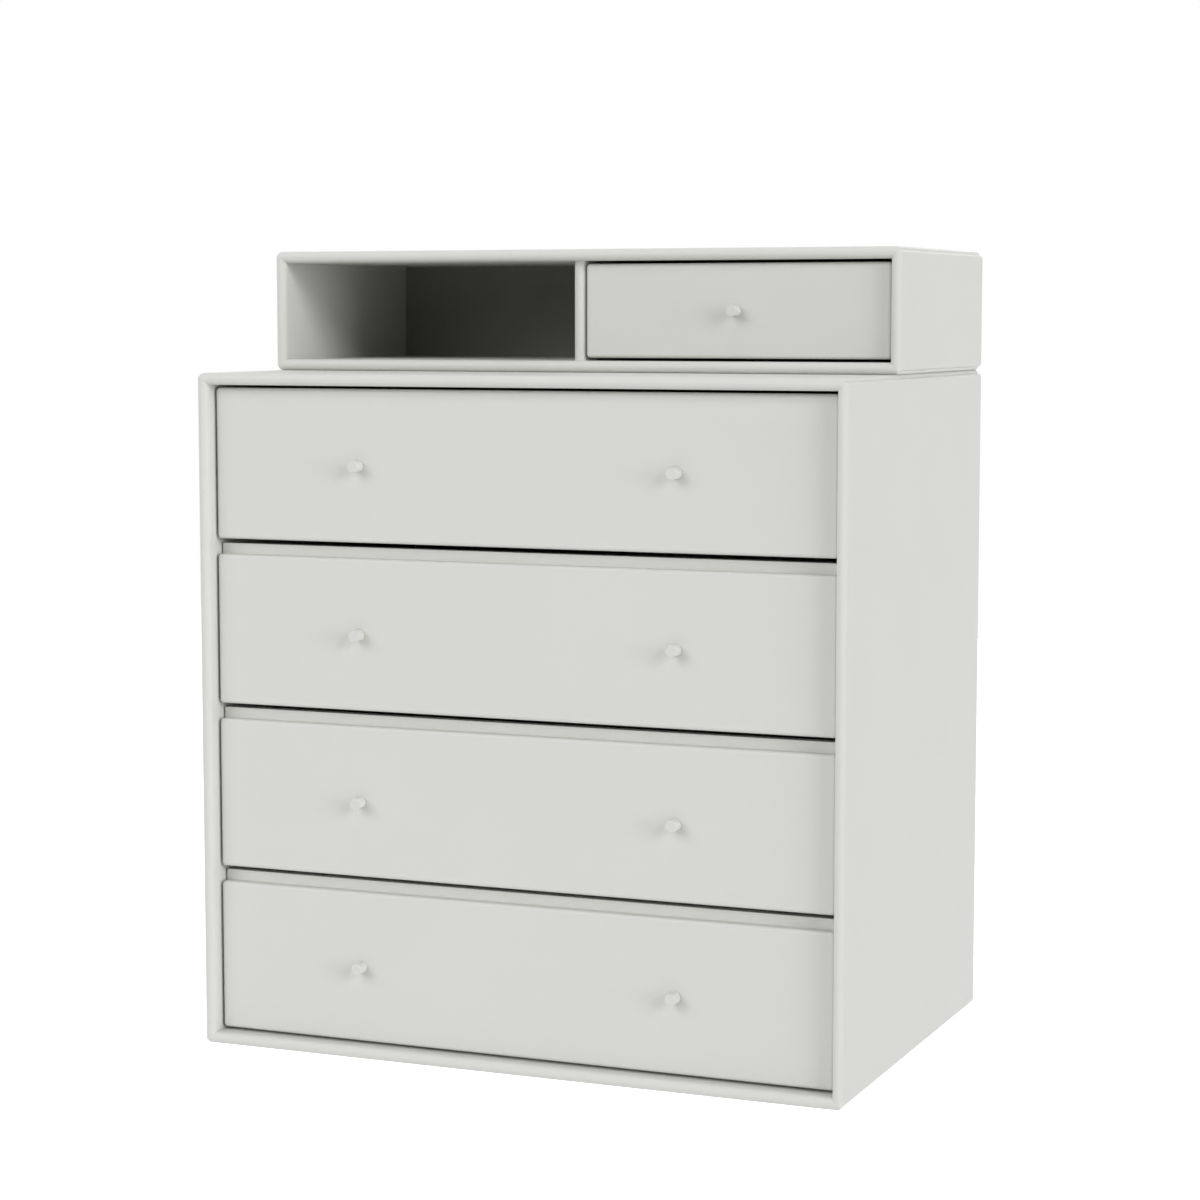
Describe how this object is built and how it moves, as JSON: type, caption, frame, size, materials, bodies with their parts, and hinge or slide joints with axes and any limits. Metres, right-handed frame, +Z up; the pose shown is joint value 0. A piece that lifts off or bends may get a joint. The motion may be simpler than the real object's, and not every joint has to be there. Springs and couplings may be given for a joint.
{
  "type": "wall-mounted chest of drawers",
  "caption": "Wall-mounted chest of full-width drawers with small turned knobs, under a shallower upper unit with an open compartment beside a drawer.",
  "frame": {"origin": "on the wall plane at the back, midway between the wall screw holes of the two hanging rails, which is half the chest's height", "axes": "+X to the right as seen from the room, -Y towards the room, +Z up"},
  "size_m": [0.696, 0.468, 0.822],
  "materials": {
    "carcass_lacquer": "matt lacquer on fibreboard",
    "front_lacquer": "matt lacquer on fibreboard",
    "knob_lacquer": "matt lacquer on turned wood",
    "drawer_board": "matt lacquer on board",
    "back_board": "matt lacquer on thin board",
    "rail_board": "bare board",
    "dowel_wood": "bare beech",
    "runner_steel": "zinc plated"
  },
  "bodies": {
    "carcass": {"chest_top": "carcass_lacquer", "chest_bottom": "carcass_lacquer", "chest_left_side": "carcass_lacquer", "chest_right_side": "carcass_lacquer", "upper_top": "carcass_lacquer", "upper_bottom": "carcass_lacquer", "upper_left_side": "carcass_lacquer", "upper_right_side": "carcass_lacquer", "upper_divider": "carcass_lacquer", "chest_back": "back_board", "upper_back": "back_board", "hanging_rails": "rail_board", "connecting_dowels": "dowel_wood", "chest_cabinet_members": "runner_steel", "upper_cabinet_members": "runner_steel"},
    "drawer_1": {"drawer_1_front": "front_lacquer", "drawer_1_knobs": "knob_lacquer", "drawer_1_inner_front": "drawer_board", "drawer_1_left_side": "drawer_board", "drawer_1_right_side": "drawer_board", "drawer_1_back": "drawer_board", "drawer_1_bottom": "drawer_board", "drawer_1_drawer_members": "runner_steel"},
    "drawer_1_runner_middles": {"drawer_1_middle_members": "runner_steel"},
    "drawer_2": {"drawer_2_front": "front_lacquer", "drawer_2_knobs": "knob_lacquer", "drawer_2_inner_front": "drawer_board", "drawer_2_left_side": "drawer_board", "drawer_2_right_side": "drawer_board", "drawer_2_back": "drawer_board", "drawer_2_bottom": "drawer_board", "drawer_2_drawer_members": "runner_steel"},
    "drawer_2_runner_middles": {"drawer_2_middle_members": "runner_steel"},
    "drawer_3": {"drawer_3_front": "front_lacquer", "drawer_3_knobs": "knob_lacquer", "drawer_3_inner_front": "drawer_board", "drawer_3_left_side": "drawer_board", "drawer_3_right_side": "drawer_board", "drawer_3_back": "drawer_board", "drawer_3_bottom": "drawer_board", "drawer_3_drawer_members": "runner_steel"},
    "drawer_3_runner_middles": {"drawer_3_middle_members": "runner_steel"},
    "drawer_4": {"drawer_4_front": "front_lacquer", "drawer_4_knobs": "knob_lacquer", "drawer_4_inner_front": "drawer_board", "drawer_4_left_side": "drawer_board", "drawer_4_right_side": "drawer_board", "drawer_4_back": "drawer_board", "drawer_4_bottom": "drawer_board", "drawer_4_drawer_members": "runner_steel"},
    "drawer_4_runner_middles": {"drawer_4_middle_members": "runner_steel"},
    "upper_drawer": {"upper_drawer_front": "front_lacquer", "upper_drawer_knobs": "knob_lacquer", "upper_drawer_inner_front": "drawer_board", "upper_drawer_left_side": "drawer_board", "upper_drawer_right_side": "drawer_board", "upper_drawer_back": "drawer_board", "upper_drawer_bottom": "drawer_board", "upper_drawer_drawer_members": "runner_steel"},
    "upper_drawer_runner_middles": {"upper_drawer_middle_members": "runner_steel"}
  },
  "joints": [
    {"name": "drawer_1_slide", "type": "slide", "parent": "carcass", "child": "drawer_1", "axis": [0, -1, 0], "range_m": [0, 0.4]},
    {"name": "drawer_1_middle_slide", "type": "slide", "parent": "carcass", "child": "drawer_1_runner_middles", "axis": [0, -1, 0], "range_m": [0, 0.2]},
    {"name": "drawer_2_slide", "type": "slide", "parent": "carcass", "child": "drawer_2", "axis": [0, -1, 0], "range_m": [0, 0.4]},
    {"name": "drawer_2_middle_slide", "type": "slide", "parent": "carcass", "child": "drawer_2_runner_middles", "axis": [0, -1, 0], "range_m": [0, 0.2]},
    {"name": "drawer_3_slide", "type": "slide", "parent": "carcass", "child": "drawer_3", "axis": [0, -1, 0], "range_m": [0, 0.4]},
    {"name": "drawer_3_middle_slide", "type": "slide", "parent": "carcass", "child": "drawer_3_runner_middles", "axis": [0, -1, 0], "range_m": [0, 0.2]},
    {"name": "drawer_4_slide", "type": "slide", "parent": "carcass", "child": "drawer_4", "axis": [0, -1, 0], "range_m": [0, 0.4]},
    {"name": "drawer_4_middle_slide", "type": "slide", "parent": "carcass", "child": "drawer_4_runner_middles", "axis": [0, -1, 0], "range_m": [0, 0.2]},
    {"name": "upper_drawer_slide", "type": "slide", "parent": "carcass", "child": "upper_drawer", "axis": [0, -1, 0], "range_m": [0, 0.25]},
    {"name": "upper_drawer_middle_slide", "type": "slide", "parent": "carcass", "child": "upper_drawer_runner_middles", "axis": [0, -1, 0], "range_m": [0, 0.125]}
  ],
  "couplings": [
    {"joint": "drawer_1_middle_slide", "follows": "drawer_1_slide", "ratio": 0.5},
    {"joint": "drawer_2_middle_slide", "follows": "drawer_2_slide", "ratio": 0.5},
    {"joint": "drawer_3_middle_slide", "follows": "drawer_3_slide", "ratio": 0.5},
    {"joint": "drawer_4_middle_slide", "follows": "drawer_4_slide", "ratio": 0.5},
    {"joint": "upper_drawer_middle_slide", "follows": "upper_drawer_slide", "ratio": 0.5}
  ]
}
